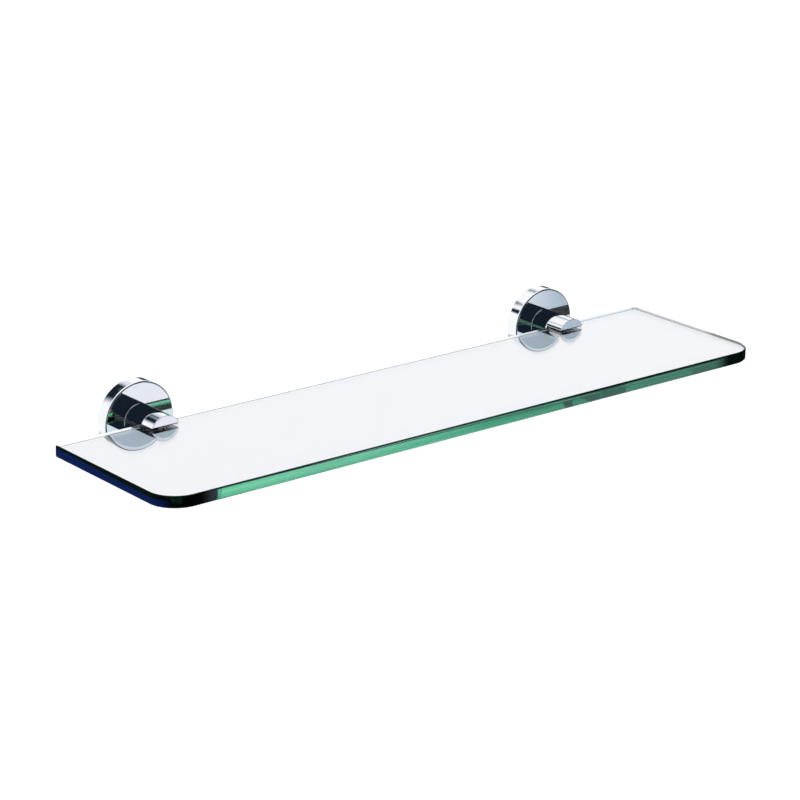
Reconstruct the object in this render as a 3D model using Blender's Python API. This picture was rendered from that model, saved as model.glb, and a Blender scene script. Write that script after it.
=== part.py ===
"""Glass wall shelf held in the slotted posts of two round brackets. Metres, +Z up, front towards -Y.

The wall is the plane y = 0 and both post axes lie in the plane z = 0, so the origin is on the wall,
midway between the brackets. Each bracket's pieces hang from an empty whose local Z runs out of the
wall along the post, with local Y upwards.
"""

import math

import bmesh
import bpy

# Glass panel
GLASS_WIDTH = 0.500
GLASS_DEPTH = 0.125
GLASS_THICKNESS = 0.008
FRONT_CORNER_RADIUS = 0.020
BACK_CORNER_CUT = 0.0015
GLASS_CHAMFER = 0.0008

# Brackets. Heights are distances out from the wall.
BRACKET_SPACING = 0.350
ROSETTE_DIAMETER = 0.053
ROSETTE_HEIGHT = 0.010
ROSETTE_WALL = 0.002
ROSETTE_FACE = 0.0025
ROSETTE_RIM_RADIUS = 0.0012
POST_DIAMETER = 0.023
POST_LENGTH = 0.030
POST_CHAMFER = 0.0005
GLASS_ENGAGEMENT = 0.014

# Plate that the wall screws hold, inside the rosette
PLATE_FACE_GAP = 0.0015
GROOVE_DEPTH = 0.0012
WALL_SCREW_HOLE = 0.0045
COUNTERSINK_DIAMETER = 0.0085

# Screw, washer and dowel between rosette and post
POST_SCREW_DIAMETER = 0.006
POST_SCREW_HEAD = 0.010
POST_SCREW_HEAD_HEIGHT = 0.0035
POST_SCREW_KEY = 0.004
POST_SCREW_HEAD_GAP = 0.001
BORE_RUNOUT = 0.001
BORE_TO_SLOT = 0.004
WASHER_DIAMETER = 0.0115
WASHER_THICKNESS = 0.0008
DOWEL_DIAMETER = 0.003
DOWEL_LENGTH = 0.0055

# Set screw that locks the rosette to the plate, and the lug that it runs in
SET_SCREW_DIAMETER = 0.004
SET_SCREW_KEY = 0.002
SET_SCREW_RECESS = 0.0008
LUG_WIDTH = 0.009
LUG_DEPTH = 0.0042

# Clear liner in the slot, and the clamp under the glass
LINER_THICKNESS = 0.0005
LINER_SETBACK = 0.0006
LINER_SIDE_MARGIN = 0.0005
CLAMP_FROM_END = 0.007
CLAMP_SCREW_DIAMETER = 0.005
CLAMP_SCREW_RECESS = 0.002
CLAMP_SCREW_KEY = 0.0025
CLAMP_PAD_DIAMETER = 0.0042
CLAMP_PAD_THICKNESS = 0.0012
KEY_DEPTH = 0.0016
SCREW_CHAMFER = 0.0005

# Clearances between separate pieces
FIT_GAP = 0.0003
SEAT_GAP = 0.00015

ROUND_SEGMENTS = 72
SMALL_SEGMENTS = 24
ARC_STEPS = 6
CUT_MARGIN = 0.001

POST_END = ROSETTE_HEIGHT + POST_LENGTH
GLASS_BACK = POST_END - GLASS_ENGAGEMENT
SLOT_ROOT = GLASS_BACK - FIT_GAP - LINER_THICKNESS - SEAT_GAP
SLOT_HALF = GLASS_THICKNESS / 2 + SEAT_GAP + LINER_THICKNESS + SEAT_GAP
FACE_INSIDE = ROSETTE_HEIGHT - ROSETTE_FACE
WASHER_TOP = FACE_INSIDE - FIT_GAP
HEAD_TOP = WASHER_TOP - WASHER_THICKNESS - SEAT_GAP
BORE_RADIUS = POST_SCREW_DIAMETER / 2 + FIT_GAP
BORE_END = SLOT_ROOT - BORE_TO_SLOT
DOWEL_OFFSET = (BORE_RADIUS + POST_DIAMETER / 2) / 2
PLATE_RADIUS = ROSETTE_DIAMETER / 2 - ROSETTE_WALL - LUG_DEPTH - FIT_GAP
PLATE_THICKNESS = FACE_INSIDE - PLATE_FACE_GAP
PLATE_HOLE_RADIUS = POST_SCREW_HEAD / 2 + POST_SCREW_HEAD_GAP
WALL_SCREW_OFFSET = (PLATE_HOLE_RADIUS + PLATE_RADIUS) / 2
SET_SCREW_HEIGHT = (FIT_GAP + FACE_INSIDE) / 2
SET_SCREW_TIP = PLATE_RADIUS - GROOVE_DEPTH + FIT_GAP
CLAMP_HEIGHT = POST_END - CLAMP_FROM_END
PAD_TOP = GLASS_THICKNESS / 2 + SEAT_GAP
CLAMP_SCREW_TOP = PAD_TOP + CLAMP_PAD_THICKNESS + SEAT_GAP
CLAMP_SCREW_END = POST_DIAMETER / 2 - CLAMP_SCREW_RECESS


def finish(name, colour, metallic=0.0, roughness=0.4, transmission=0.0):
    material = bpy.data.materials.new(name)
    material.use_nodes = True
    shader = material.node_tree.nodes["Principled BSDF"]
    shader.inputs["Base Color"].default_value = (*colour, 1.0)
    shader.inputs["Metallic"].default_value = metallic
    shader.inputs["Roughness"].default_value = roughness
    shader.inputs["Transmission Weight"].default_value = transmission
    return material


def add_object(name, shape, material, parent=None, location=(0, 0, 0), rotation=(0, 0, 0)):
    """The bmesh as an object under its parent, shaded smooth apart from its corners."""
    bmesh.ops.recalc_face_normals(shape, faces=shape.faces)
    mesh = bpy.data.meshes.new(name)
    shape.to_mesh(mesh)
    shape.free()
    mesh.shade_smooth()
    mesh.set_sharp_from_angle(angle=math.radians(30))
    mesh.materials.append(material)
    placed = bpy.data.objects.new(name, mesh)
    bpy.context.scene.collection.objects.link(placed)
    placed.parent = parent
    placed.location = location
    placed.rotation_euler = rotation
    return placed


def add_helper(name, shape, parent, location=(0, 0, 0), rotation=(0, 0, 0)):
    helper = add_object(name, shape, None, parent, location, rotation)
    helper.hide_render = True
    helper.display_type = "WIRE"
    return helper


def combine(target, helper, operation="DIFFERENCE"):
    modifier = target.modifiers.new(helper.name, "BOOLEAN")
    modifier.operation = operation
    modifier.solver = "EXACT"
    modifier.object = helper


def turned(profile, segments):
    """The closed (radius, height) outline turned about Z."""
    shape = bmesh.new()
    points = [shape.verts.new((radius, 0, height)) for radius, height in profile]
    edges = [shape.edges.new(pair) for pair in zip(points, points[1:] + points[:1])]
    bmesh.ops.spin(
        shape,
        geom=points + edges,
        cent=(0, 0, 0),
        axis=(0, 0, 1),
        angle=math.tau,
        steps=segments,
        use_merge=True,
    )
    bmesh.ops.remove_doubles(shape, verts=shape.verts, dist=1e-7)
    on_axis = [edge for edge in shape.edges if all(math.hypot(*v.co.xy) < 1e-7 for v in edge.verts)]
    bmesh.ops.delete(shape, geom=on_axis, context="EDGES")
    return shape


def cylinder(radius, low, high, segments=SMALL_SEGMENTS):
    return turned([(0, low), (radius, low), (radius, high), (0, high)], segments)


def box(low, high):
    shape = bmesh.new()
    bmesh.ops.create_cube(shape, size=1)
    for vert in shape.verts:
        vert.co = [low[i] + (high[i] - low[i]) * (vert.co[i] + 0.5) for i in range(3)]
    return shape


def hex_key(across_flats, low, high):
    """A hexagonal bar for cutting a key socket."""
    return cylinder(across_flats / math.sqrt(3), low, high, 6)


def arc(centre, radius, start, end, steps=ARC_STEPS):
    """Points of an arc, both ends included. Angles are in degrees."""
    angles = [math.radians(start + (end - start) * i / steps) for i in range(steps + 1)]
    return [(centre[0] + radius * math.cos(a), centre[1] + radius * math.sin(a)) for a in angles]


def glass_shelf(material):
    half = GLASS_WIDTH / 2
    inset = half - FRONT_CORNER_RADIUS
    front = -GLASS_DEPTH
    outline = [
        (half, -BACK_CORNER_CUT),
        (half - BACK_CORNER_CUT, 0),
        (BACK_CORNER_CUT - half, 0),
        (-half, -BACK_CORNER_CUT),
        *arc((-inset, front + FRONT_CORNER_RADIUS), FRONT_CORNER_RADIUS, 180, 270, 2 * ARC_STEPS),
        *arc((inset, front + FRONT_CORNER_RADIUS), FRONT_CORNER_RADIUS, 270, 360, 2 * ARC_STEPS),
    ]
    shape = bmesh.new()
    under = shape.faces.new([shape.verts.new((x, y, -GLASS_THICKNESS / 2)) for x, y in outline])
    upper = bmesh.ops.extrude_face_region(shape, geom=[under], use_keep_orig=True)["geom"]
    bmesh.ops.translate(
        shape,
        vec=(0, 0, GLASS_THICKNESS),
        verts=[part for part in upper if isinstance(part, bmesh.types.BMVert)],
    )
    rim = [edge for edge in shape.edges if edge.verts[0].co.z == edge.verts[1].co.z]
    bmesh.ops.bevel(
        shape, geom=rim, offset=GLASS_CHAMFER, offset_type="OFFSET", segments=1, profile=0.5, affect="EDGES"
    )
    add_object("glass_shelf", shape, material, location=(0, -GLASS_BACK, 0))


def wall_plate(name, material, bracket):
    """Round plate with a V groove for the set screw, a middle hole and two countersunk holes."""
    shape = turned(
        [
            (PLATE_HOLE_RADIUS, 0),
            (PLATE_RADIUS, 0),
            (PLATE_RADIUS, SET_SCREW_HEIGHT - GROOVE_DEPTH),
            (PLATE_RADIUS - GROOVE_DEPTH, SET_SCREW_HEIGHT),
            (PLATE_RADIUS, SET_SCREW_HEIGHT + GROOVE_DEPTH),
            (PLATE_RADIUS, PLATE_THICKNESS),
            (PLATE_HOLE_RADIUS, PLATE_THICKNESS),
        ],
        ROUND_SEGMENTS,
    )
    plate = add_object(name, shape, material, bracket)
    hole = WALL_SCREW_HOLE / 2
    sink = COUNTERSINK_DIAMETER / 2
    shoulder = PLATE_THICKNESS - (sink - hole)
    for tag, x in (("a", -WALL_SCREW_OFFSET), ("b", WALL_SCREW_OFFSET)):
        drill = turned(
            [
                (0, -CUT_MARGIN),
                (hole, -CUT_MARGIN),
                (hole, shoulder),
                (sink, PLATE_THICKNESS),
                (sink, PLATE_THICKNESS + CUT_MARGIN),
                (0, PLATE_THICKNESS + CUT_MARGIN),
            ],
            SMALL_SEGMENTS,
        )
        combine(plate, add_helper(f"{name}_drill_{tag}", drill, bracket, (x, 0, 0)))


def rosette(name, material, bracket):
    """Cup over the wall plate, with a lug inside its lower wall for the set screw."""
    outer = ROSETTE_DIAMETER / 2
    inner = outer - ROSETTE_WALL
    rim = ROSETTE_RIM_RADIUS
    profile = [
        (BORE_RADIUS, FACE_INSIDE),
        (inner, FACE_INSIDE),
        (inner, FIT_GAP),
        (outer, FIT_GAP),
        *arc((outer - rim, ROSETTE_HEIGHT - rim), rim, 0, 90),
        (BORE_RADIUS, ROSETTE_HEIGHT),
    ]
    cup = add_object(name, turned(profile, ROUND_SEGMENTS), material, bracket)
    lug = box(
        (-LUG_WIDTH / 2, -(outer - ROSETTE_WALL / 2), FIT_GAP + SEAT_GAP),
        (LUG_WIDTH / 2, -(inner - LUG_DEPTH), FACE_INSIDE + ROSETTE_FACE / 2),
    )
    combine(cup, add_helper(f"{name}_lug", lug, bracket), "UNION")
    thread = cylinder(SET_SCREW_DIAMETER / 2 + SEAT_GAP, PLATE_RADIUS, outer + CUT_MARGIN)
    combine(
        cup,
        add_helper(f"{name}_thread", thread, bracket, (0, 0, SET_SCREW_HEIGHT), (math.pi / 2, 0, 0)),
    )
    dowel_hole = cylinder(
        DOWEL_DIAMETER / 2 + SEAT_GAP, FACE_INSIDE - CUT_MARGIN, ROSETTE_HEIGHT + CUT_MARGIN
    )
    combine(cup, add_helper(f"{name}_dowel_hole", dowel_hole, bracket, (0, DOWEL_OFFSET, 0)))


def post(name, material, bracket):
    """Round bar with a blind thread in its base and a slot across its outer end."""
    radius = POST_DIAMETER / 2
    base = ROSETTE_HEIGHT + FIT_GAP
    profile = [
        (BORE_RADIUS, base),
        (radius, base),
        (radius, POST_END - POST_CHAMFER),
        (radius - POST_CHAMFER, POST_END),
        (0, POST_END),
        (0, BORE_END),
        (BORE_RADIUS, BORE_END),
    ]
    bar = add_object(name, turned(profile, ROUND_SEGMENTS), material, bracket)
    side = radius + CUT_MARGIN
    slot = box((-side, -SLOT_HALF, SLOT_ROOT), (side, SLOT_HALF, POST_END + CUT_MARGIN))
    combine(bar, add_helper(f"{name}_slot", slot, bracket))
    thread = cylinder(CLAMP_SCREW_DIAMETER / 2 + SEAT_GAP, SLOT_HALF - CUT_MARGIN, side)
    combine(bar, add_helper(f"{name}_thread", thread, bracket, (0, 0, CLAMP_HEIGHT), (math.pi / 2, 0, 0)))
    dowel_end = FACE_INSIDE + FIT_GAP + DOWEL_LENGTH + FIT_GAP
    dowel_hole = cylinder(DOWEL_DIAMETER / 2 + SEAT_GAP, base - CUT_MARGIN, dowel_end)
    combine(bar, add_helper(f"{name}_dowel_hole", dowel_hole, bracket, (0, DOWEL_OFFSET, 0)))


def post_screw(name, material, bracket):
    """Cap screw from inside the rosette, with its key socket towards the wall."""
    head = POST_SCREW_HEAD / 2
    shank = POST_SCREW_DIAMETER / 2
    low = HEAD_TOP - POST_SCREW_HEAD_HEIGHT
    tip = BORE_END - BORE_RUNOUT
    profile = [
        (0, low),
        (head - SCREW_CHAMFER, low),
        (head, low + SCREW_CHAMFER),
        (head, HEAD_TOP),
        (shank, HEAD_TOP),
        (shank, tip - SCREW_CHAMFER),
        (shank - SCREW_CHAMFER, tip),
        (0, tip),
    ]
    screw = add_object(name, turned(profile, SMALL_SEGMENTS), material, bracket)
    key = hex_key(POST_SCREW_KEY, low - CUT_MARGIN, low + KEY_DEPTH)
    combine(screw, add_helper(f"{name}_key", key, bracket))


def lock_washer(name, material, bracket):
    outer = WASHER_DIAMETER / 2
    low = WASHER_TOP - WASHER_THICKNESS
    profile = [(BORE_RADIUS, low), (outer, low), (outer, WASHER_TOP), (BORE_RADIUS, WASHER_TOP)]
    add_object(name, turned(profile, SMALL_SEGMENTS), material, bracket)


def dowel_pin(name, material, bracket):
    """Pin that keeps the slot level."""
    low = FACE_INSIDE + FIT_GAP
    pin = cylinder(DOWEL_DIAMETER / 2, low, low + DOWEL_LENGTH)
    add_object(name, pin, material, bracket, (0, DOWEL_OFFSET, 0))


def set_screw(name, material, bracket):
    """Cone-pointed grub screw, upright under the rosette's axis, its key socket downwards."""
    radius = SET_SCREW_DIAMETER / 2
    end = ROSETTE_DIAMETER / 2 - SET_SCREW_RECESS
    profile = [(0, SET_SCREW_TIP), (radius, SET_SCREW_TIP + radius), (radius, end), (0, end)]
    place = {"location": (0, 0, SET_SCREW_HEIGHT), "rotation": (math.pi / 2, 0, 0)}
    screw = add_object(name, turned(profile, SMALL_SEGMENTS), material, bracket, **place)
    key = hex_key(SET_SCREW_KEY, end - KEY_DEPTH, end + CUT_MARGIN)
    combine(screw, add_helper(f"{name}_key", key, bracket, **place))


def clamp_screw(name, material, bracket):
    """Flat-pointed grub screw in the lower jaw, its key socket downwards."""
    grub = cylinder(CLAMP_SCREW_DIAMETER / 2, CLAMP_SCREW_TOP, CLAMP_SCREW_END)
    place = {"location": (0, 0, CLAMP_HEIGHT), "rotation": (math.pi / 2, 0, 0)}
    screw = add_object(name, grub, material, bracket, **place)
    key = hex_key(CLAMP_SCREW_KEY, CLAMP_SCREW_END - KEY_DEPTH, CLAMP_SCREW_END + CUT_MARGIN)
    combine(screw, add_helper(f"{name}_key", key, bracket, **place))


def clamp_pad(name, material, bracket):
    """Soft disc between the clamp screw and the glass."""
    pad = cylinder(CLAMP_PAD_DIAMETER / 2, PAD_TOP, PAD_TOP + CLAMP_PAD_THICKNESS)
    add_object(name, pad, material, bracket, (0, 0, CLAMP_HEIGHT), (math.pi / 2, 0, 0))


def slot_liner(name, material, bracket):
    """Channel round the glass edge, with a hole in its lower leg for the clamp pad."""
    half_width = math.sqrt((POST_DIAMETER / 2) ** 2 - SLOT_HALF**2) - LINER_SIDE_MARGIN
    root = SLOT_ROOT + SEAT_GAP
    half_height = SLOT_HALF - SEAT_GAP
    mouth = POST_END - LINER_SETBACK
    block = box((-half_width, -half_height, root), (half_width, half_height, mouth))
    liner = add_object(name, block, material, bracket)
    inside = GLASS_THICKNESS / 2 + SEAT_GAP
    side = half_width + CUT_MARGIN
    channel = box((-side, -inside, root + LINER_THICKNESS), (side, inside, mouth + CUT_MARGIN))
    combine(liner, add_helper(f"{name}_channel", channel, bracket))
    pad_hole = cylinder(CLAMP_PAD_DIAMETER / 2 + FIT_GAP, inside - CUT_MARGIN, SLOT_HALF + CUT_MARGIN)
    combine(
        liner,
        add_helper(f"{name}_pad_hole", pad_hole, bracket, (0, 0, CLAMP_HEIGHT), (math.pi / 2, 0, 0)),
    )


def main():
    for old in list(bpy.data.objects):
        bpy.data.objects.remove(old, do_unlink=True)

    chrome = (0.80, 0.82, 0.84)
    steel = (0.55, 0.55, 0.56)
    glass_shelf(finish("shelf_glass", (0.80, 0.93, 0.88), roughness=0.02, transmission=1.0))
    bracket_parts = [
        (wall_plate, finish("cast_zinc", (0.48, 0.49, 0.50), 1.0, 0.45)),
        (rosette, finish("rosette_chrome", chrome, 1.0, 0.05)),
        (post, finish("post_chrome", chrome, 1.0, 0.05)),
        (post_screw, finish("zinc_plated_steel", (0.62, 0.63, 0.64), 1.0, 0.3)),
        (lock_washer, finish("spring_steel", (0.40, 0.40, 0.41), 1.0, 0.35)),
        (dowel_pin, finish("dowel_steel", steel, 1.0, 0.25)),
        (set_screw, finish("set_screw_steel", steel, 1.0, 0.3)),
        (clamp_screw, finish("clamp_screw_steel", steel, 1.0, 0.3)),
        (clamp_pad, finish("pad_nylon", (0.85, 0.85, 0.82), roughness=0.5)),
        (slot_liner, finish("liner_plastic", (0.88, 0.90, 0.90), roughness=0.3, transmission=0.8)),
    ]
    for side, x in (("left", -BRACKET_SPACING / 2), ("right", BRACKET_SPACING / 2)):
        bracket = bpy.data.objects.new(f"bracket_{side}", None)
        bpy.context.scene.collection.objects.link(bracket)
        bracket.location = (x, 0, 0)
        bracket.rotation_euler = (math.pi / 2, 0, 0)
        for build, material in bracket_parts:
            build(f"{build.__name__}_{side}", material, bracket)


main()
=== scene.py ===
import math

import bmesh
import bpy
from mathutils import Matrix, Vector


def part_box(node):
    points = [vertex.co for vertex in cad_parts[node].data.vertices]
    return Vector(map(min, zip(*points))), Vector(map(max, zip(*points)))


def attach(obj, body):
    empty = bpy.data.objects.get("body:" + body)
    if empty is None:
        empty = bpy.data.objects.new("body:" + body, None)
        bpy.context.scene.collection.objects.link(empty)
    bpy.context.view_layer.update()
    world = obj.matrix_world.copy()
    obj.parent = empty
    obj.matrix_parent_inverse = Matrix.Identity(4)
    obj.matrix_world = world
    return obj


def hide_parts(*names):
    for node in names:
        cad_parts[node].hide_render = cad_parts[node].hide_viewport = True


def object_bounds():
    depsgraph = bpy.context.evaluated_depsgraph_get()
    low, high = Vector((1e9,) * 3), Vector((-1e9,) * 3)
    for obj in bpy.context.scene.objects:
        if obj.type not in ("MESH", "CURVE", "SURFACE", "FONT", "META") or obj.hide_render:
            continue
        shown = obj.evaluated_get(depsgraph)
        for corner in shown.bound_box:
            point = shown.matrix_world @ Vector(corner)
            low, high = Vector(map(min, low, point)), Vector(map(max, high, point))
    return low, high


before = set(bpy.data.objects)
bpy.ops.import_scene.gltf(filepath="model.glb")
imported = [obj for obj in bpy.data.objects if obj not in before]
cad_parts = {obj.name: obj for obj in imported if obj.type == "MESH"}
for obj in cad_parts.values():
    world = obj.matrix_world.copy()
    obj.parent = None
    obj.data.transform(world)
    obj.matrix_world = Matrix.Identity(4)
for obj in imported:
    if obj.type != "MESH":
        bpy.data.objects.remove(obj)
cadBox = [list(corner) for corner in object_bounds()]
print("frame loaded:", len(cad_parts), "nodes")


class Wire:
    # an output socket of a node tree; sums and products of wires add Math nodes
    def __init__(self, tree, socket):
        self.tree = tree
        self.socket = socket

    def join(self, operation, *values):
        node = self.tree.nodes.new("ShaderNodeMath")
        node.operation = operation
        for place, value in zip(node.inputs, values):
            if isinstance(value, Wire):
                self.tree.links.new(value.socket, place)
            else:
                place.default_value = value
        return Wire(self.tree, node.outputs[0])

    def __add__(self, other):
        return self.join("ADD", self, other)

    def __radd__(self, other):
        return self.join("ADD", other, self)

    def __sub__(self, other):
        return self.join("SUBTRACT", self, other)

    def __rsub__(self, other):
        return self.join("SUBTRACT", other, self)

    def __mul__(self, other):
        return self.join("MULTIPLY", self, other)

    def __rmul__(self, other):
        return self.join("MULTIPLY", other, self)

    def __truediv__(self, other):
        return self.join("DIVIDE", self, other)

    def __abs__(self):
        return self.join("ABSOLUTE", self)

    def orMore(self, other):
        return self.join("MAXIMUM", self, other)


class NodeSet:
    # the nodes of a material or of the world
    def __init__(self, owner):
        owner.use_nodes = True
        self.tree = owner.node_tree

    def add(self, kind, settings=None, values=None, out=0):
        node = self.tree.nodes.new("ShaderNode" + kind)
        for key, value in (settings or {}).items():
            if key == "stops":
                self.setStops(node.color_ramp, value)
            else:
                setattr(node, key, value)
        for key, value in (values or {}).items():
            self.feed(node.inputs[key], value)
        return Wire(self.tree, node.outputs[out])

    def feed(self, socket, value):
        if isinstance(value, Wire):
            self.tree.links.new(value.socket, socket)
        else:
            socket.default_value = value

    def setStops(self, ramp, stops):
        while len(ramp.elements) < len(stops):
            ramp.elements.new(1.0)
        for element, (position, shade) in zip(ramp.elements, stops):
            element.position = position
            element.color = (*shade, 1.0)

    def smooth(self, value, low, high):
        # 0 below low, 1 above high, and a soft step between
        return self.add(
            "MapRange",
            {"interpolation_type": "SMOOTHSTEP"},
            {"Value": value, "From Min": low, "From Max": high},
        )

    def parts(self, vector):
        # the three numbers of a vector
        node = self.add("SeparateXYZ", values={"Vector": vector}).socket.node
        return [Wire(self.tree, output) for output in node.outputs]

    def point(self, scale=(1.0, 1.0, 1.0)):
        place = self.add("TexCoord", out=3)
        return self.add("Mapping", values={"Vector": place, "Scale": scale})

    def noise(self, scale, detail=3.0, stretch=(1.0, 1.0, 1.0)):
        values = {"Vector": self.point(stretch), "Scale": scale, "Detail": detail}
        return self.add("TexNoise", values=values)

    def blend(self, factor, first, second, mode="MIX"):
        # first and second are colours, or wires that carry one
        first, second = (end if isinstance(end, Wire) else (*end, 1.0) for end in (first, second))
        return self.add(
            "Mix", {"data_type": "RGBA", "blend_type": mode}, {0: factor, 6: first, 7: second}, out=2
        )


def finishOf(name, **plain):
    # a Principled material; plain holds its sockets' uniform values as words joined by underscores
    material = bpy.data.materials.new(name)
    nodes = NodeSet(material)
    shader = nodes.tree.nodes["Principled BSDF"]
    for key, value in plain.items():
        shader.inputs[key.replace("_", " ")].default_value = value
    return material, nodes, shader


def worked(nodes, shader, shades, roughness, bump):
    # colour and roughness that wander over the surface, with a fine bump in metres
    even = (1.0, 1.0, 1.0)
    patches = nodes.noise(shades["scale"], detail=4.0)
    nodes.feed(shader.inputs["Base Color"], nodes.blend(patches, shades["dark"], shades["light"]))
    smear = nodes.noise(roughness["scale"], detail=3.0, stretch=roughness.get("stretch", even))
    spread = roughness["high"] - roughness["low"]
    nodes.feed(shader.inputs["Roughness"], roughness["low"] + smear * spread)
    grain = nodes.noise(bump["scale"], detail=2.0, stretch=bump.get("stretch", even))
    height = nodes.add(
        "Bump", values={"Height": grain, "Strength": bump["strength"], "Distance": bump["depth"]}
    )
    nodes.feed(shader.inputs["Normal"], height)


# finishes of the metal pieces and the nylon pads; scales are per metre, depths are metres
finishes = {
    "rosetteChrome": {
        "shades": {"scale": 40, "dark": (0.77, 0.79, 0.82), "light": (0.84, 0.86, 0.88)},
        "roughness": {"scale": 90, "low": 0.015, "high": 0.05},
        "bump": {"scale": 260, "strength": 0.12, "depth": 0.000010},
        "metallic": 1.0,
    },
    "postChrome": {
        "shades": {"scale": 50, "dark": (0.75, 0.77, 0.80), "light": (0.83, 0.85, 0.88)},
        "roughness": {"scale": 120, "low": 0.02, "high": 0.06},
        "bump": {"scale": 300, "strength": 0.12, "depth": 0.000010},
        "metallic": 1.0,
    },
    "castZinc": {
        "shades": {"scale": 160, "dark": (0.36, 0.37, 0.39), "light": (0.58, 0.59, 0.60)},
        "roughness": {"scale": 400, "low": 0.38, "high": 0.62},
        "bump": {"scale": 1800, "strength": 0.6, "depth": 0.00008},
        "metallic": 1.0,
    },
    "platedSteel": {
        "shades": {"scale": 300, "dark": (0.50, 0.52, 0.55), "light": (0.74, 0.73, 0.68)},
        "roughness": {"scale": 700, "low": 0.22, "high": 0.38},
        "bump": {"scale": 2600, "strength": 0.3, "depth": 0.00002},
        "metallic": 1.0,
    },
    "springSteel": {
        "shades": {"scale": 350, "dark": (0.16, 0.16, 0.18), "light": (0.34, 0.34, 0.36)},
        "roughness": {"scale": 600, "low": 0.30, "high": 0.48},
        "bump": {"scale": 2400, "strength": 0.3, "depth": 0.00002},
        "metallic": 1.0,
    },
    "groundSteel": {
        "shades": {"scale": 500, "dark": (0.52, 0.53, 0.55), "light": (0.70, 0.71, 0.73)},
        "roughness": {"scale": 900, "low": 0.14, "high": 0.26, "stretch": (0.2, 4, 0.2)},
        "bump": {"scale": 1500, "strength": 0.25, "depth": 0.00001, "stretch": (0.2, 6, 0.2)},
        "metallic": 1.0,
    },
    "hardenedSteel": {
        "shades": {"scale": 420, "dark": (0.30, 0.30, 0.32), "light": (0.52, 0.52, 0.54)},
        "roughness": {"scale": 800, "low": 0.24, "high": 0.40},
        "bump": {"scale": 2600, "strength": 0.25, "depth": 0.000015},
        "metallic": 1.0,
    },
    "padNylon": {
        "shades": {"scale": 500, "dark": (0.78, 0.77, 0.73), "light": (0.88, 0.88, 0.85)},
        "roughness": {"scale": 900, "low": 0.42, "high": 0.60},
        "bump": {"scale": 3000, "strength": 0.3, "depth": 0.00002},
        "metallic": 0.0,
    },
}


def workedFinish(name):
    look = finishes[name]
    material, nodes, shader = finishOf(name, Metallic=look["metallic"])
    worked(nodes, shader, look["shades"], look["roughness"], look["bump"])
    return material


# the smoke-tinted plastic of the slot liners
linerPlastic = {
    "index": 1.46,
    "light": (0.50, 0.54, 0.56),
    "dark": (0.36, 0.40, 0.42),
    "scale": 900,
    "smooth": 0.04,
    "cloudy": 0.12,  # how much rougher it gets where it is cloudy
}


def linerFinish():
    look = linerPlastic
    material, nodes, shader = finishOf("linerPlastic", IOR=look["index"], Transmission_Weight=1.0)
    cloud = nodes.noise(look["scale"])
    nodes.feed(shader.inputs["Base Color"], nodes.blend(cloud, look["dark"], look["light"]))
    nodes.feed(shader.inputs["Roughness"], look["smooth"] + cloud * look["cloudy"])
    return material


# sizes that the frame gives; heights are distances out from the wall
sides = ("left", "right")


def middle(node, axis):
    low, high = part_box(node)
    return (low[axis] + high[axis]) / 2


def outOf(node):
    # the node's nearest and furthest distance from the wall
    low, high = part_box(node)
    return -high.y, -low.y


def halfAcross(node, axis=0):
    low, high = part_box(node)
    return (high[axis] - low[axis]) / 2


bracketX = {side: middle(f"post_{side}", 0) for side in sides}
glassLow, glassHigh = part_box("glass_shelf")
halfGlass = halfAcross("glass_shelf", 2)
postRadius = halfAcross("post_left")
postBase, postEnd = outOf("post_left")
rosetteRadius = halfAcross("rosette_left")
rosetteBack, rosetteTop = outOf("rosette_left")
plateRadius = halfAcross("wall_plate_left")
plateBack, plateTop = outOf("wall_plate_left")
linerHalf = halfAcross("slot_liner_left", 2)
linerWidth = halfAcross("slot_liner_left")
linerBack, linerEnd = outOf("slot_liner_left")
dowelUp = middle("dowel_pin_left", 2)
dowelRadius = halfAcross("dowel_pin_left")
dowelStart, dowelEnd = outOf("dowel_pin_left")
washerRadius = halfAcross("lock_washer_left")
washerLow, washerTop = outOf("lock_washer_left")
postScrewHead = halfAcross("post_screw_left")
postScrewLow, postScrewTip = outOf("post_screw_left")
setScrewOut = -middle("set_screw_left", 1)
setScrewRadius = halfAcross("set_screw_left")
setScrewEnd = -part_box("set_screw_left")[0].z
setScrewTip = -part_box("set_screw_left")[1].z
clampOut = -middle("clamp_screw_left", 1)
clampRadius = halfAcross("clamp_screw_left")
clampEnd = -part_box("clamp_screw_left")[0].z
clampTop = -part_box("clamp_screw_left")[1].z
padRadius = halfAcross("clamp_pad_left")
padTop = -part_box("clamp_pad_left")[1].z
padBottom = -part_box("clamp_pad_left")[0].z
fitGap = 0.0003  # between pieces
seatGap = 0.00015  # where one piece rests on another
pastEnd = 0.001  # how far a cutter runs past the surface it opens
boreRunout = 0.001  # how far the post's bore runs past its screw
samePoint = 1e-7  # corners nearer than this are one
sameHeight = 1e-6  # points nearer than this are level
slotHalf = linerHalf + seatGap
slotRoot = linerBack - seatGap
faceInside = dowelStart - fitGap
boreRadius = 0.0033
boreEnd = postScrewTip + boreRunout


def bracketSpace(side):
    # local Z out of the wall, local Y up
    return Matrix.Translation((bracketX[side], 0, 0)) @ Matrix.Rotation(math.pi / 2, 4, "X")


def hanging(out):
    # turns a piece made along +Z so that it points down at this distance from the wall
    return Matrix.Translation((0, 0, out)) @ Matrix.Rotation(math.pi / 2, 4, "X")


def aside(across, up):
    # moves a piece made along the bracket's axis away from that axis
    return Matrix.Translation((across, up, 0))


def meshFrom(name, shape):
    bmesh.ops.recalc_face_normals(shape, faces=shape.faces)
    mesh = bpy.data.meshes.new(name)
    shape.to_mesh(mesh)
    shape.free()
    return mesh


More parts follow.
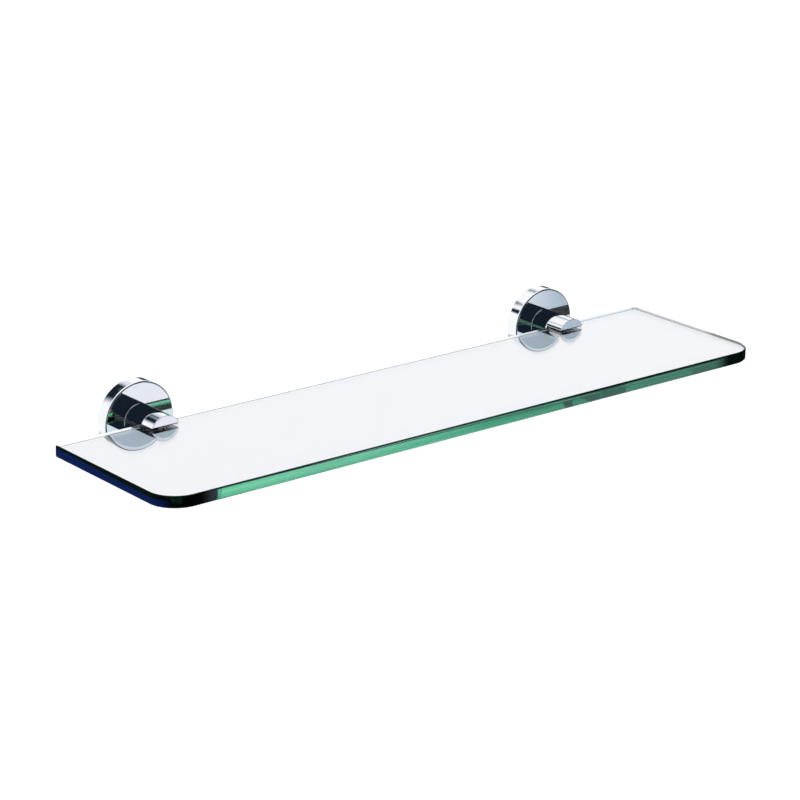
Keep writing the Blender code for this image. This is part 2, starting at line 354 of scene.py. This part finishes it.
def keep(name, shape, material, place=None, body=None, node=None, sharp=35):
    # the shape as a finished piece with its place in its mesh; weighted normals keep its flats flat
    if place is not None:
        bmesh.ops.transform(shape, matrix=place, verts=shape.verts)
    mesh = meshFrom(name, shape)
    mesh.shade_smooth()
    mesh.set_sharp_from_angle(angle=math.radians(sharp))
    mesh.materials.append(material)
    piece = bpy.data.objects.new(name, mesh)
    bpy.context.scene.collection.objects.link(piece)
    if body:
        flats = piece.modifiers.new("flats", "WEIGHTED_NORMAL")
        flats.keep_sharp = True
        flats.weight = 100
        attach(piece, body)
        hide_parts(node)
    return piece


def keepPart(name, side, shape, material, body, node, spot=None):
    # a bracket's piece, at its spot in the bracket on that side
    place = bracketSpace(side) if spot is None else bracketSpace(side) @ spot
    keep(f"{name}{side.title()}", shape, material, place, body, f"{node}_{side}")


def carved(shape, tool, operation="DIFFERENCE"):
    # the shape with the tool cut from it, or joined to it
    blanks = []
    for name, part in (("blank", shape), ("tool", tool)):
        blank = bpy.data.objects.new(name, meshFrom(name, part))
        bpy.context.scene.collection.objects.link(blank)
        blanks.append(blank)
    cut = blanks[0].modifiers.new("cut", "BOOLEAN")
    cut.operation = operation
    cut.solver = "EXACT"
    cut.object = blanks[1]
    result = bmesh.new()
    result.from_object(blanks[0], bpy.context.evaluated_depsgraph_get())
    for blank in blanks:
        mesh = blank.data
        bpy.data.objects.remove(blank)
        bpy.data.meshes.remove(mesh)
    bmesh.ops.remove_doubles(result, verts=result.verts, dist=samePoint)
    return result


def lathe(points, steps):
    # a closed outline of (radius, height) corners turned about Z
    shape = bmesh.new()
    verts = [shape.verts.new((radius, 0, height)) for radius, height in points]
    outline = [shape.edges.new(pair) for pair in zip(verts, verts[1:] + verts[:1])]
    bmesh.ops.spin(
        shape,
        geom=verts + outline,
        cent=(0, 0, 0),
        axis=(0, 0, 1),
        angle=math.tau,
        steps=steps,
        use_merge=True,
    )
    bmesh.ops.remove_doubles(shape, verts=shape.verts, dist=samePoint)
    onAxis = [edge for edge in shape.edges if not edge.link_faces or isOnAxis(edge)]
    bmesh.ops.delete(shape, geom=onAxis, context="EDGES")
    return shape


def isOnAxis(edge):
    return all(math.hypot(v.co.x, v.co.y) < samePoint for v in edge.verts)


def rod(radius, low, high, steps=32):
    return lathe([(0, low), (radius, low), (radius, high), (0, high)], steps)


def drill(radius, low, mouth, steps):
    # a cutter for a hole with a 45 degree mouth
    widest = (radius + pastEnd, mouth + pastEnd)
    return lathe([(0, low), (radius, low), (radius, mouth), widest, (0, mouth + pastEnd)], steps)


def moved(shape, matrix):
    bmesh.ops.transform(shape, matrix=matrix, verts=shape.verts)
    return shape


def block(low, high):
    shape = bmesh.new()
    low, high = Vector(low), Vector(high)
    bmesh.ops.create_cube(shape, size=1.0)
    bmesh.ops.scale(shape, vec=high - low, verts=shape.verts)
    bmesh.ops.translate(shape, vec=(low + high) / 2, verts=shape.verts)
    return shape


def roundEdges(shape, chosen, width, segments):
    bmesh.ops.bevel(
        shape,
        geom=list(chosen),
        offset=width,
        offset_type="OFFSET",
        affect="EDGES",
        segments=segments,
        profile=0.5,
        material=-1,
        clamp_overlap=True,
    )


def ring(shape, radius, height):
    # the edges of the circle at this radius and height
    slack = 1e-5

    def isOn(v):
        return abs(math.hypot(v.co.x, v.co.y) - radius) < slack and abs(v.co.z - height) < slack

    return [edge for edge in shape.edges if isOn(edge.verts[0]) and isOn(edge.verts[1])]


def corners(shape, degrees=40, test=None):
    # the edges where two faces meet at more than this angle
    limit = math.radians(degrees)
    return [
        edge
        for edge in shape.edges
        if len(edge.link_faces) == 2
        and edge.calc_face_angle(0) > limit
        and (test is None or test(edge))
    ]


# a 60 degree thread; its outline is in pitches
threadForm = {
    "depth": 0.54,
    "root": 0.16,
    "crest": (0.47, 0.63),
    "leadIn": 1.5,
    "chamfer": 0.8,  # how long the end chamfers are, in thread depths
    "steps": 36,
    "merge": 1e-6,  # metres
}


def threaded(radius, pitch, low, high, point=0.0):
    # a closed thread from low to high with chamfered ends, the low one drawn to a point where asked
    look = threadForm
    depth = look["depth"] * pitch
    shape = bmesh.new()
    line = []
    for turn in range(math.ceil((high - low) / pitch) + 3):
        foot = low + (turn - look["leadIn"]) * pitch
        line += [(radius - depth, foot), (radius - depth, foot + look["root"] * pitch)]
        line += [(radius, foot + crest * pitch) for crest in look["crest"]]
    verts = [shape.verts.new((reach, 0, height)) for reach, height in line]
    edges = [shape.edges.new(pair) for pair in zip(verts, verts[1:])]
    bmesh.ops.spin(
        shape,
        geom=verts + edges,
        cent=(0, 0, 0),
        axis=(0, 0, 1),
        dvec=(0, 0, pitch / look["steps"]),
        angle=math.tau,
        steps=look["steps"],
        use_merge=False,
    )
    bmesh.ops.remove_doubles(shape, verts=shape.verts, dist=look["merge"])
    for height, side in ((low, -1), (high, 1)):
        closeEnd(shape, height, side)
    for v in shape.verts:
        reach = math.hypot(v.co.x, v.co.y)
        fromEnd = min(v.co.z - low, high - v.co.z)
        allowed = radius - depth + fromEnd / look["chamfer"]
        if point and v.co.z - low < radius:
            allowed = point + v.co.z - low
        if reach > allowed:
            v.co.xy *= allowed / reach
    return shape


def closeEnd(shape, height, side):
    # cuts the shape level at this height, on its upper or lower side, and caps the cut
    everything = list(shape.verts) + list(shape.edges) + list(shape.faces)
    bmesh.ops.bisect_plane(
        shape,
        geom=everything,
        dist=samePoint,
        plane_co=(0, 0, height),
        plane_no=(0, 0, side),
        clear_outer=True,
    )
    loose = [edge for edge in shape.edges if edge.is_boundary]
    rim = [edge for edge in loose if abs(edge.verts[0].co.z - height) < sameHeight]
    bmesh.ops.contextual_create(shape, geom=rim)


def hexKey(acrossFlats, low, high):
    return rod(acrossFlats / math.sqrt(3), low, high, 6)


# the toughened glass panel: nearly clear through its faces, green and streaky through its polished edges,
# with painted shade that darkens its edges towards the right and on its arrises, and a painted glow on
# its front edge;
# a pair of numbers is where a soft step starts and ends, in metres unless it says otherwise
glassPanel = {
    "index": 1.52,
    "faces": (0.842, 0.806, 0.864),
    "faceDepth": (0.0001, 0.00002),
    "sheen": (0.80, 0.85, 0.90),
    "absorbed": (0.30, 0.885, 0.66),
    "density": 8.0,
    # the green of the edge, darkening towards the right end; that darkening is painted shade
    "edgeStops": [
        (0.05, (0.24, 0.68, 0.47)),
        (0.29, (0.46, 0.71, 0.59)),
        (0.40, (0.35, 0.67, 0.52)),
        (0.50, (0.12, 0.43, 0.33)),
        (0.65, (0.12, 0.42, 0.30)),
        (0.80, (0.055, 0.12, 0.10)),
        (1.0, (0.04, 0.10, 0.08)),
    ],
    "edgeRoughness": 0.05,
    "streaks": {"stretch": (5, 5, 420), "step": (0.38, 0.66), "shade": (0.34, 0.60, 0.54)},
    "arris": 0.0008,
    "arrisStep": 0.0001,
    # the arrises' dark green at the front and grey at the back are painted shade
    "arrisFront": (0.04, 0.22, 0.14),
    "arrisBack": (0.22, 0.25, 0.25),
    "arrisFade": (0.03, 0.10),  # from the back shade to the front one, out from the wall
    "arrisRoughness": 0.30,
    "backEdge": (0.013, 0.03),  # out from the wall
    "backRoughness": 0.32,
    "frontEdge": (0.115, 0.130),  # out from the wall
    # a painted glow: the front edge emits this light of its own towards the right
    "paintedEdgeGlow": (0.012, 0.085, 0.050),
    "paintedGlowAlong": (0.58, 0.70),  # shares of the width
    "frontCorner": 0.020,
    "backCorner": 0.0015,
    "cornerSteps": 28,
}

# painted reflection and painted shade: fixed dark colours laid on the glass at its ends, its back and
# right arrises and under its front top edge, in place of dark surroundings seen in it
paintedGlassDark = {
    "navy": (0.003, 0.017, 0.115),
    "black": (0.001, 0.006, 0.005),
    "rim": (0.10, 0.13, 0.13),
    "roughness": 0.5,
    "navyDepth": (0.0015, 0.007),  # from the left end, where navy turns black
    "blackHeight": (0.0028, 0.0038),  # above this the left end is black
    "blackDrop": 0.0018,  # how much lower that is at the front
    "blackDropOver": (0.03, 0.14),
    "blackWander": 0.002,
    "leftFace": (0.0010, 0.0018),
    "leftDepth": (0.024, 0.037),  # the left end looks dark to this far along the front edge
    "rightDepth": (0.028, 0.044),  # the same at the right front corner
    "frontPart": (0.09, 0.11),  # out from the wall
    "endCover": 0.97,
    "rimDepth": (0.0008, 0.002),  # from the right end
    "rimCover": 0.75,
    "rightCover": 0.4,
    "bandHeight": (0.0020, 0.0030),  # the band under the front top edge, towards the right
    "bandAlong": (0.25, 0.85),  # shares of the width
    "bandCover": 0.85,
}


def glassPlaces(nodes):
    # where a point of the panel is, in metres, and masks of its flat faces, its arrises and its back edge
    look = glassPanel
    across, out, height = nodes.parts(nodes.point())
    fromLeft = across - glassLow.x
    fromWall = 0 - out
    arrisFoot = halfGlass - look["arris"]
    faceLow, faceHigh = (halfGlass - depth for depth in look["faceDepth"])
    return {
        "height": height,
        "fromLeft": fromLeft,
        "fromRight": glassHigh.x - across,
        "along": fromLeft / (glassHigh.x - glassLow.x),
        "fromWall": fromWall,
        "face": nodes.smooth(abs(height), faceLow, faceHigh),
        "arris": nodes.smooth(abs(height), arrisFoot, arrisFoot + look["arrisStep"]),
        "back": 1 - nodes.smooth(fromWall, *look["backEdge"]),
        "front": nodes.smooth(fromWall, *look["frontEdge"]),
        "streaks": nodes.noise(1.0, stretch=look["streaks"]["stretch"]),
    }


def glassShade(nodes, at):
    # the colour of what gets through: green along the front, clear in the faces; the edge's darkening
    # towards the right end, and its dark green front arris fading to a grey one at the back, are painted
    # shade
    look = glassPanel
    tint = nodes.add("ValToRGB", {"stops": look["edgeStops"]}, {"Fac": at["along"]})
    streaky = nodes.smooth(at["streaks"], *look["streaks"]["step"])
    tint = nodes.blend(streaky, tint, look["streaks"]["shade"], "MULTIPLY")
    fade = nodes.smooth(at["fromWall"], *look["arrisFade"])
    arris = nodes.blend(fade, look["arrisBack"], look["arrisFront"])
    tint = nodes.blend(at["arris"], tint, arris)
    return nodes.blend(at["face"], tint, look["faces"])


def paintedGlassShade(nodes, at):
    # painted reflection and painted shade: the dark shader, and the mask that lays it over the clear one
    # at the glass's ends, its back and right arrises, and under the front top edge
    look = paintedGlassDark
    dark = nodes.add("BsdfPrincipled", values={"Roughness": look["roughness"], "Specular IOR Level": 0.0})
    shade = nodes.blend(nodes.smooth(at["fromLeft"], *look["navyDepth"]), look["navy"], look["black"])
    drop = nodes.smooth(at["fromWall"], *look["blackDropOver"]) * look["blackDrop"]
    level = at["height"] + at["streaks"] * look["blackWander"] + drop
    shade = nodes.blend(nodes.smooth(level, *look["blackHeight"]), shade, look["black"])
    rightFace = 1 - nodes.smooth(at["fromRight"], *look["rimDepth"])
    rim = rightFace.orMore(at["back"]) * at["arris"]
    nodes.feed(dark.socket.node.inputs["Base Color"], nodes.blend(rim, shade, look["rim"]))
    ends = 2 - nodes.smooth(at["fromLeft"], *look["leftDepth"])
    ends = ends - nodes.smooth(at["fromRight"], *look["rightDepth"])
    leftFace = 1 - nodes.smooth(at["fromLeft"], *look["leftFace"])
    cover = ends * nodes.smooth(at["fromWall"], *look["frontPart"])
    cover = cover.orMore(leftFace) * look["endCover"]
    band = nodes.smooth(at["height"], *look["bandHeight"]) * nodes.smooth(at["along"], *look["bandAlong"])
    cover = cover.orMore(band * at["front"] * look["bandCover"])
    cover = cover.orMore(rim * look["rimCover"]).orMore(rightFace * look["rightCover"])
    return dark, cover * (1 - at["face"])


def glassFinish():
    look = glassPanel
    material, nodes, shader = finishOf(
        "shelfGlass", IOR=look["index"], Transmission_Weight=1.0, Emission_Strength=1.0
    )
    output = nodes.tree.nodes["Material Output"]
    shader.inputs["Specular Tint"].default_value = (*look["sheen"], 1.0)
    at = glassPlaces(nodes)
    offFace = 1 - at["face"]
    nodes.feed(shader.inputs["Base Color"], glassShade(nodes, at))
    ground = at["streaks"] * look["edgeRoughness"] + at["arris"] * look["arrisRoughness"]
    ground = at["back"] * look["backRoughness"] + ground
    nodes.feed(shader.inputs["Roughness"], offFace * ground)
    # painted glow: the right part of the front edge emits light of its own, standing in for light piped
    # along the glass
    paintedGlow = nodes.smooth(at["along"], *look["paintedGlowAlong"]) * at["front"] * (1 - at["arris"]) * offFace
    nodes.feed(shader.inputs["Emission Color"], nodes.blend(paintedGlow, (0, 0, 0), look["paintedEdgeGlow"]))
    # painted reflection and painted shade laid over the clear glass
    dark, cover = paintedGlassShade(nodes, at)
    clear = Wire(nodes.tree, shader.outputs[0])
    nodes.feed(output.inputs["Surface"], nodes.add("MixShader", values={0: cover, 1: clear, 2: dark}))
    absorption = nodes.tree.nodes.new("ShaderNodeVolumeAbsorption")
    absorption.inputs["Color"].default_value = (*look["absorbed"], 1.0)
    absorption.inputs["Density"].default_value = look["density"]
    nodes.feed(output.inputs["Volume"], Wire(nodes.tree, absorption.outputs[0]))
    return material


def makeGlass():
    look = glassPanel
    shape = block(glassLow, glassHigh)
    middleY = (glassLow.y + glassHigh.y) / 2

    def isUpright(edge):
        return abs(edge.verts[0].co.z - edge.verts[1].co.z) > halfGlass

    front = [edge for edge in shape.edges if isUpright(edge) and edge.verts[0].co.y < middleY]
    roundEdges(shape, front, look["frontCorner"], look["cornerSteps"])
    behind = glassHigh.y - sameHeight
    back = [edge for edge in shape.edges if isUpright(edge) and edge.verts[0].co.y > behind]
    roundEdges(shape, back, look["backCorner"], segments=1)
    rim = [edge for edge in shape.edges if not isUpright(edge)]
    roundEdges(shape, rim, look["arris"], segments=1)
    keep("glassPanel", shape, glassFinish(), None, "glass", "glass_shelf", sharp=30)


# the chrome cup over the wall plate
rosetteCup = {
    "wall": 0.002,
    "rim": 0.0012,
    "steps": 144,
    "lugWidth": 0.009,
    "lugDepth": 0.0042,
    "lugEdge": 0.0006,
    "mouthDepth": 0.0003,  # how deep the set screw's hole is widened
    "holeSteps": 32,
}


def makeRosette(side, material):
    look = rosetteCup
    inner = rosetteRadius - look["wall"]
    shape = lathe(
        [
            (boreRadius, faceInside),
            (inner, faceInside),
            (inner, rosetteBack),
            (rosetteRadius, rosetteBack),
            (rosetteRadius, rosetteTop),
            (boreRadius, rosetteTop),
        ],
        look["steps"],
    )
    roundEdges(shape, ring(shape, rosetteRadius, rosetteTop), look["rim"], segments=6)
    roundEdges(shape, ring(shape, rosetteRadius, rosetteBack), fitGap, segments=2)
    lugEnd = -(rosetteRadius - look["wall"] / 2)
    lug = block(
        (-look["lugWidth"] / 2, lugEnd, rosetteBack + seatGap),
        (look["lugWidth"] / 2, -(inner - look["lugDepth"]), (faceInside + rosetteTop) / 2),
    )

    def isFree(edge):
        return min(v.co.y for v in edge.verts) > lugEnd + sameHeight

    roundEdges(lug, corners(lug, test=isFree), look["lugEdge"], segments=3)
    shape = carved(shape, lug, "UNION")
    hole = setScrewRadius + seatGap
    mouth = rosetteRadius - look["mouthDepth"]
    screwHole = drill(hole, plateRadius, mouth, look["holeSteps"])
    shape = carved(shape, moved(screwHole, hanging(setScrewOut)))
    pinHole = rod(dowelRadius + seatGap, faceInside - pastEnd, rosetteTop + pastEnd)
    shape = carved(shape, moved(pinHole, aside(0, dowelUp)))
    keepPart("rosetteCup", side, shape, material, "brackets", "rosette")


# the chrome post with the slot that takes the glass
slottedPost = {"arcSteps": 44, "sideSteps": 14, "holeSteps": 40, "endEdge": 0.0005, "footEdge": 0.0005}


def makePost(side, material):
    look = slottedPost
    arcSteps, sideSteps = look["arcSteps"], look["sideSteps"]
    start = math.asin(slotHalf / postRadius)
    upperTurns = [start + (math.pi - 2 * start) * i / arcSteps for i in range(arcSteps + 1)]
    flankTurns = [start * (2 * i / sideSteps - 1) for i in range(1, sideSteps)]
    shape = bmesh.new()

    def corner(turn, across=1, up=1):
        x, y = postRadius * math.cos(turn), postRadius * math.sin(turn)
        return shape.verts.new((across * x, up * y, slotRoot))

    upper = [corner(turn) for turn in upperTurns]
    lower = [corner(turn, up=-1) for turn in upperTurns]
    right = [corner(turn) for turn in flankTurns]
    left = [corner(turn, across=-1) for turn in flankTurns]
    jaws = [shape.faces.new(upper), shape.faces.new(lower[::-1])]
    web = shape.faces.new([lower[0], *right, upper[0], upper[-1], *left[::-1], lower[-1]])

    def drawn(faces, height, keepStart):
        grown = bmesh.ops.extrude_face_region(shape, geom=faces, use_keep_orig=keepStart)["geom"]
        verts = [v for v in grown if isinstance(v, bmesh.types.BMVert)]
        bmesh.ops.translate(shape, vec=(0, 0, height - slotRoot), verts=verts)

    drawn([*jaws, web], postBase, True)
    for jaw in jaws:
        drawn([jaw], postEnd, False)
    bmesh.ops.recalc_face_normals(shape, faces=shape.faces)

    def isAtEnd(edge):
        return min(v.co.z for v in edge.verts) > postEnd - sameHeight

    roundEdges(shape, corners(shape, test=isAtEnd), look["endEdge"], segments=4)
    roundEdges(shape, ring(shape, postRadius, postBase), look["footEdge"], segments=4)
    shape = carved(shape, rod(boreRadius, postBase - pastEnd, boreEnd))
    hole = clampRadius + seatGap
    mouth = math.sqrt(postRadius**2 - hole**2)
    screwHole = drill(hole, slotHalf - pastEnd, mouth, look["holeSteps"])
    shape = carved(shape, moved(screwHole, hanging(clampOut)))
    pinHole = rod(dowelRadius + seatGap, postBase - pastEnd, dowelEnd + fitGap)
    shape = carved(shape, moved(pinHole, aside(0, dowelUp)))
    keepPart("slottedPost", side, shape, material, "brackets", "post")


# the cast plate that the wall screws hold
wallPlate = {
    "hole": 0.006,
    "groove": 0.0012,
    "screwHole": 0.00225,
    "sink": 0.00425,
    "screwOffset": 0.013,
    "edge": 0.0003,
    "steps": 120,
    "holeSteps": 40,
}


def makeWallPlate(side, material):
    look = wallPlate
    root = plateRadius - look["groove"]
    shape = lathe(
        [
            (look["hole"], plateBack),
            (plateRadius, plateBack),
            (plateRadius, setScrewOut - look["groove"]),
            (root, setScrewOut),
            (plateRadius, setScrewOut + look["groove"]),
            (plateRadius, plateTop),
            (look["hole"], plateTop),
        ],
        look["steps"],
    )
    for radius in (look["hole"], plateRadius):
        roundEdges(shape, ring(shape, radius, plateTop), look["edge"], segments=2)
    shoulder = plateTop - (look["sink"] - look["screwHole"])
    for across in (-look["screwOffset"], look["screwOffset"]):
        cutter = lathe(
            [
                (0, plateBack - pastEnd),
                (look["screwHole"], plateBack - pastEnd),
                (look["screwHole"], shoulder),
                (look["sink"], plateTop),
                (look["sink"], plateTop + pastEnd),
                (0, plateTop + pastEnd),
            ],
            look["holeSteps"],
        )
        shape = carved(shape, moved(cutter, aside(across, 0)))
    keepPart("castPlate", side, shape, material, "brackets", "wall_plate")


# the cap screw that draws the post to the rosette
postScrew = {
    "radius": 0.003,
    "head": 0.0035,
    "pitch": 0.001,
    "key": 0.004,
    "keyDepth": 0.0016,
    "edge": 0.0005,
    "headSteps": 72,
}


def makePostScrew(side, material):
    look = postScrew
    headTop = postScrewLow + look["head"]
    head = rod(postScrewHead, postScrewLow, headTop, look["headSteps"])
    roundEdges(head, ring(head, postScrewHead, postScrewLow), look["edge"], segments=3)
    thread = threaded(look["radius"], look["pitch"], headTop - look["edge"], postScrewTip)
    shape = carved(head, thread, "UNION")
    shape = carved(shape, hexKey(look["key"], postScrewLow - pastEnd, postScrewLow + look["keyDepth"]))
    keepPart("postScrew", side, shape, material, "brackets", "post_screw")


# the split spring washer under that screw's head
springWasher = {"split": 8, "steps": 88, "edge": 0.0001}


def makeWasher(side, material):
    look = springWasher
    shape = bmesh.new()
    outline = [
        (boreRadius, washerLow),
        (washerRadius, washerLow),
        (washerRadius, washerTop),
        (boreRadius, washerTop),
    ]
    section = shape.faces.new([shape.verts.new((radius, 0, height)) for radius, height in outline])
    bmesh.ops.spin(
        shape,
        geom=[section],
        cent=(0, 0, 0),
        axis=(0, 0, 1),
        angle=math.radians(360 - look["split"]),
        steps=look["steps"],
        use_merge=False,
    )
    bmesh.ops.remove_doubles(shape, verts=shape.verts, dist=samePoint)
    bmesh.ops.recalc_face_normals(shape, faces=shape.faces)
    roundEdges(shape, corners(shape, degrees=60), look["edge"], segments=2)
    keepPart("springWasher", side, shape, material, "brackets", "lock_washer")


# the pin that keeps the slot level
dowelPin = {"edge": 0.0003, "steps": 48}


def makeDowel(side, material):
    look = dowelPin
    shape = rod(dowelRadius, dowelStart, dowelEnd, look["steps"])
    for height in (dowelStart, dowelEnd):
        roundEdges(shape, ring(shape, dowelRadius, height), look["edge"], segments=3)
    spot = aside(0, dowelUp)
    keepPart("dowelPin", side, shape, material, "brackets", "dowel_pin", spot)


# the cone-pointed screw that locks the rosette to its plate
setScrew = {"pitch": 0.0007, "key": 0.002, "keyDepth": 0.0016, "point": 0.0002}


def makeSetScrew(side, material):
    look = setScrew
    shape = threaded(setScrewRadius, look["pitch"], setScrewTip, setScrewEnd, point=look["point"])
    shape = carved(shape, hexKey(look["key"], setScrewEnd - look["keyDepth"], setScrewEnd + pastEnd))
    spot = hanging(setScrewOut)
    keepPart("setScrew", side, shape, material, f"lock_{side}", "set_screw", spot)


# the screw that presses the pad up against the glass
clampScrew = {"pitch": 0.0008, "key": 0.0025, "keyDepth": 0.0016}


def makeClampScrew(side, material):
    look = clampScrew
    shape = threaded(clampRadius, look["pitch"], clampTop, clampEnd)
    shape = carved(shape, hexKey(look["key"], clampEnd - look["keyDepth"], clampEnd + pastEnd))
    spot = hanging(clampOut)
    keepPart("clampScrew", side, shape, material, f"clamp_{side}", "clamp_screw", spot)


# the nylon pad between that screw and the glass
clampPad = {"edge": 0.00025, "steps": 48}


def makePad(side, material):
    look = clampPad
    shape = rod(padRadius, padTop, padBottom, look["steps"])
    for height in (padTop, padBottom):
        roundEdges(shape, ring(shape, padRadius, height), look["edge"], segments=3)
    keepPart("clampPad", side, shape, material, f"pad_{side}", "clamp_pad", hanging(clampOut))


# the smoke-tinted channel between the glass and the slot
slotLiner = {"edge": 0.00012, "padClearance": 0.0003}


def makeLiner(side, material):
    look = slotLiner
    inside = halfGlass + seatGap
    web = linerBack + linerHalf - inside
    outline = [
        (-linerHalf, linerEnd),
        (-linerHalf, linerBack),
        (linerHalf, linerBack),
        (linerHalf, linerEnd),
        (inside, linerEnd),
        (inside, web),
        (-inside, web),
        (-inside, linerEnd),
    ]
    shape = bmesh.new()
    section = shape.faces.new([shape.verts.new((-linerWidth, up, out)) for up, out in outline])
    grown = bmesh.ops.extrude_face_region(shape, geom=[section], use_keep_orig=True)["geom"]
    verts = [v for v in grown if isinstance(v, bmesh.types.BMVert)]
    bmesh.ops.translate(shape, vec=(2 * linerWidth, 0, 0), verts=verts)
    bmesh.ops.recalc_face_normals(shape, faces=shape.faces)
    roundEdges(shape, corners(shape), look["edge"], segments=2)
    opening = rod(padRadius + look["padClearance"], inside - pastEnd, linerHalf + pastEnd)
    shape = carved(shape, moved(opening, hanging(clampOut)))
    keepPart("slotLiner", side, shape, material, "brackets", "slot_liner")


# the studio: a white floor behind, and a bright sky with dark flags that the chrome mirrors
studio = {
    "floorDrop": 0.50,
    "floorNear": (2.1, 0.36),  # distance from the camera, and half the width there
    "floorFar": (6.6, 1.15),
    "floorShades": (0.90, 0.92),
    "floorScale": 3.0,
    "floorRoughness": 0.9,
    "floorGlow": 0.37,
    "sky": 1.15,
    "under": 0.06,
    "underStep": (-40, -24),  # elevations in degrees
    "shade": (0.010, 0.018, 0.030),
    "half": (0.40, 0.47, 0.54),
    "halfStep": (0.0, 0.55),
    "skyStep": (0.35, 1.0),
    "front": (0.80, 0.94, 1.01),
    "clear": (1.06, 1.06, 1.06),
    "through": [(1.60, 1.60, 1.64), (1.40, 1.46, 1.50), (0.74, 0.92, 1.05)],
    "throughSteps": [(35, 40), (41.2, 43.0)],  # azimuths in degrees, between those three shades
}

# azimuth is from the heading towards +X and elevation from level, in degrees; soft is the edge's width
skyFlags = [
    {"heading": "back", "azimuth": (-27, 14), "elevation": (20, 39), "soft": (8, 2.5), "depth": 1.0},
    {"heading": "back", "azimuth": (-43, -35), "elevation": (19.5, 28), "soft": (3, 3), "depth": 1.0},
    {"heading": "back", "azimuth": (20, 36), "elevation": (30, 40), "soft": (9, 6), "depth": 0.62},
    {"heading": "back", "azimuth": (30, 90), "elevation": (-12, 8), "soft": (6, 3), "depth": 0.9},
    {"heading": "front", "azimuth": (-62, 90), "elevation": (-95, 56), "soft": (6, 6), "depth": 1.0},
]
frontCard = {"heading": "front", "azimuth": (25, 62), "elevation": (-32, -8), "soft": (5, 5)}


def makeSky():
    world = bpy.data.worlds.new("studioSky")
    bpy.context.scene.world = world
    nodes = NodeSet(world)
    background = nodes.tree.nodes["Background"]
    east, north, up = nodes.parts(nodes.add("TexCoord"))
    degree = 180 / math.pi
    azimuths = {
        "back": east.join("ARCTAN2", east, north) * degree,
        "front": east.join("ARCTAN2", east, 0 - north) * degree,
    }
    elevation = up.join("ARCSINE", up) * degree

    def within(panel):
        # a mask of one flag or card
        inside = 1
        for angle, (low, high), soft in (
            (azimuths[panel["heading"]], panel["azimuth"], panel["soft"][0]),
            (elevation, panel["elevation"], panel["soft"][1]),
        ):
            inside = nodes.smooth(angle, low - soft, low + soft) * inside
            inside = (1 - nodes.smooth(angle, high - soft, high + soft)) * inside
        return inside

    light = studio["under"] + nodes.smooth(elevation, *studio["underStep"]) * (1 - studio["under"])
    for flag in skyFlags:
        light = (1 - within(flag) * flag["depth"]) * light
    white = (studio["sky"],) * 3
    tone = nodes.blend(nodes.smooth(light, *studio["halfStep"]), studio["shade"], studio["half"])
    tone = nodes.blend(nodes.smooth(light, *studio["skyStep"]), tone, white)
    card = within(frontCard)
    tone = nodes.blend(card, tone, studio["front"])
    # what is seen straight on or through the glass is lit evenly; only the mirrored studio has the flags
    bright = studio["through"][0]
    for step, shade in zip(studio["throughSteps"], studio["through"][1:]):
        bright = nodes.blend(nodes.smooth(azimuths["front"], *step), bright, shade)
    clear = nodes.blend(card, studio["clear"], bright)
    rays = nodes.add("LightPath").socket.node.outputs
    tone = nodes.blend(Wire(nodes.tree, rays["Is Transmission Ray"]), tone, clear)
    tone = nodes.blend(Wire(nodes.tree, rays["Is Camera Ray"]), tone, (1, 1, 1))
    nodes.feed(background.inputs["Color"], tone)


def makeFloor():
    material, nodes, shader = finishOf(
        "floorWhite", Roughness=studio["floorRoughness"], Emission_Strength=studio["floorGlow"]
    )
    low, high = ((tone,) * 3 for tone in studio["floorShades"])
    clouds = nodes.noise(studio["floorScale"], detail=2.0)
    nodes.feed(shader.inputs["Base Color"], nodes.blend(clouds, low, high))
    shader.inputs["Emission Color"].default_value = (1, 1, 1, 1)
    shape = bmesh.new()
    (near, nearHalf), (far, farHalf) = studio["floorNear"], studio["floorFar"]
    outline = [(-nearHalf, near), (nearHalf, near), (farHalf, far), (-farHalf, far)]
    shape.faces.new([shape.verts.new((across, along, 0)) for across, along in outline])
    x, y, _ = view["place"]
    height = cadBox[0][2] - studio["floorDrop"]
    place = Matrix.Translation((x, y, height)) @ Matrix.Rotation(math.radians(view["azimuth"]), 4, "Z")
    keep("floor", shape, material, place)


# where the camera stands, in metres, its turns in degrees, and its lens in millimetres
view = {
    "place": (-1.1332, -1.4562, 0.6022),
    "azimuth": -39.10,
    "elevation": 18.75,
    "roll": 0.68,
    "lens": 127.0,
    "sensor": 36.0,
    "clip": (0.01, 200.0),
}


def makeCamera():
    lens = bpy.data.cameras.new("camera")
    lens.lens = view["lens"]
    lens.sensor_width = view["sensor"]
    lens.clip_start, lens.clip_end = view["clip"]
    camera = bpy.data.objects.new("camera", lens)
    bpy.context.scene.collection.objects.link(camera)
    camera.matrix_world = (
        Matrix.Translation(view["place"])
        @ Matrix.Rotation(math.radians(view["azimuth"]), 4, "Z")
        @ Matrix.Rotation(math.radians(90 - view["elevation"]), 4, "X")
        @ Matrix.Rotation(math.radians(view["roll"]), 4, "Z")
    )
    bpy.context.scene.camera = camera
    bpy.context.scene.view_settings.view_transform = "Standard"


makeGlass()
print("glass panel made")
bracketPieces = [
    (makeWallPlate, workedFinish("castZinc")),
    (makeRosette, workedFinish("rosetteChrome")),
    (makePost, workedFinish("postChrome")),
    (makePostScrew, workedFinish("platedSteel")),
    (makeWasher, workedFinish("springSteel")),
    (makeDowel, workedFinish("groundSteel")),
    (makeSetScrew, workedFinish("hardenedSteel")),
    (makeClampScrew, workedFinish("hardenedSteel")),
    (makePad, workedFinish("padNylon")),
    (makeLiner, linerFinish()),
]
for side in sides:
    for make, material in bracketPieces:
        make(side, material)
    print(side, "bracket made")
makeSky()
makeFloor()
makeCamera()
print("studio and camera set")
